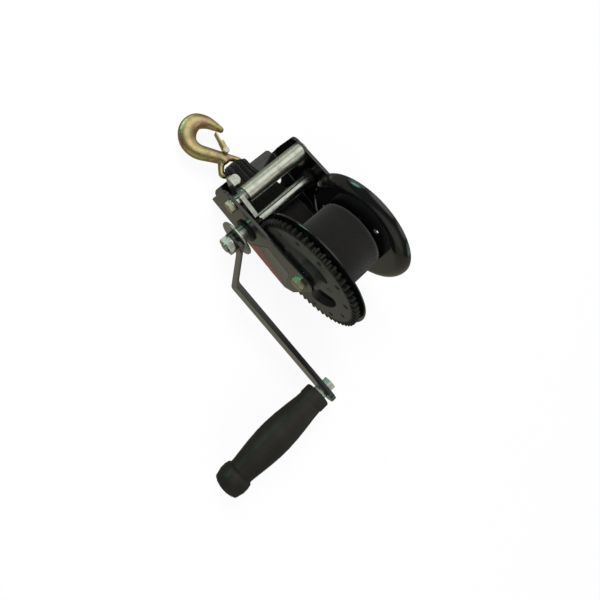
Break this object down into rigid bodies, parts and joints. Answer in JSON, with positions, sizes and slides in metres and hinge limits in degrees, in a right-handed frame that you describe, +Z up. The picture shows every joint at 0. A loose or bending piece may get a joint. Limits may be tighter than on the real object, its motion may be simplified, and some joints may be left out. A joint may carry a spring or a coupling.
{
  "type": "boat trailer winch",
  "caption": "Hand-cranked boat trailer winch: folded steel frame, geared webbing drum, pawl, crank with turning grip and a latched strap hook.",
  "frame": {"origin": "centre of the four mounting slots, on the underside of the base", "axes": "+X the way the strap pulls, towards the hook; +Y towards the gear and crank side; +Z up out of the base"},
  "size_m": [0.2901, 0.2629, 0.1245],
  "materials": {
    "black_paint": "gloss black powder coat",
    "black_gear": "satin black coat on stamped steel",
    "clear_zinc": "bright clear zinc plate",
    "yellow_zinc": "yellow passivated zinc with a faint green and pink tint",
    "spring_steel": "bright spring wire",
    "bush_plastic": "black nylon",
    "grip_plastic": "fine grained black plastic",
    "webbing": "black woven polyester webbing",
    "label_film": "grey film with a plain red band"
  },
  "bodies": {
    "frame_body": {"frame": "black_paint", "side_label": "label_film", "drum_bolt": "yellow_zinc", "drum_bolt_washer": "clear_zinc", "drum_bolt_nut": "yellow_zinc", "drum_sleeve": "clear_zinc", "shaft_bush_near": "bush_plastic", "shaft_bush_far": "bush_plastic", "spacer_tube": "clear_zinc", "pawl_bush": "clear_zinc", "pawl_bolt": "yellow_zinc", "pawl_bolt_washer": "clear_zinc", "pawl_spring": "spring_steel", "strap_run": "webbing"},
    "drum": {"drum_gear": "black_gear", "gear_rivets": "black_gear", "near_flange": "black_paint", "drum_core": "black_paint", "far_flange": "black_paint", "drum_bush_near": "bush_plastic", "drum_bush_far": "bush_plastic", "strap_anchor_bolt": "clear_zinc", "strap_anchor_nut": "clear_zinc", "strap_coil": "webbing"},
    "crank": {"pinion_shaft": "clear_zinc", "drive_pinion": "black_gear", "shaft_circlip": "spring_steel", "crank_hub": "clear_zinc", "crank_arm": "black_paint", "crank_washer": "clear_zinc", "crank_nut": "clear_zinc", "grip_bolt": "clear_zinc", "grip_bolt_washer": "clear_zinc", "grip_jam_nut": "clear_zinc", "grip_lock_nut": "clear_zinc"},
    "grip_body": {"grip": "grip_plastic", "grip_end_cap": "grip_plastic"},
    "pawl_body": {"pawl": "clear_zinc"},
    "hook": {"hook_body": "yellow_zinc", "latch_pin": "clear_zinc", "latch_spring": "spring_steel"},
    "latch": {"hook_latch": "yellow_zinc"}
  },
  "joints": [
    {"name": "drum_spin", "type": "hinge", "parent": "frame_body", "child": "drum", "pos_m": [-0.062, 0, 0.063], "axis": [0, 1, 0], "continuous": true},
    {"name": "crank_spin", "type": "hinge", "parent": "frame_body", "child": "crank", "pos_m": [0.0005, 0, 0.0315], "axis": [0, 1, 0], "continuous": true, "stiffness_Nm_per_rad": 0.02, "springref_deg": 1059.97},
    {"name": "grip_spin", "type": "hinge", "parent": "crank", "child": "grip_body", "pos_m": [-0.162, 0.15, 0.0315], "axis": [0, 1, 0], "continuous": true},
    {"name": "pawl_pivot", "type": "hinge", "parent": "frame_body", "child": "pawl_body", "pos_m": [0.025, 0.0335, 0.049], "axis": [0, -1, 0], "range_deg": [-17, 14]},
    {"name": "hook_swing", "type": "hinge", "parent": "frame_body", "child": "hook", "pos_m": [0.05, 0.012, 0.017], "axis": [0, 1, 0], "range_deg": [-45, 60]},
    {"name": "latch_swing", "type": "hinge", "parent": "hook", "child": "latch", "pos_m": [0.0676, 0.0062, 0.017], "axis": [0, 0, 1], "range_deg": [0, 36], "stiffness_Nm_per_rad": 0.05, "springref_deg": -11.46}
  ],
  "couplings": [
    {"joint": "crank_spin", "follows": "drum_spin", "ratio": -4.8333}
  ]
}
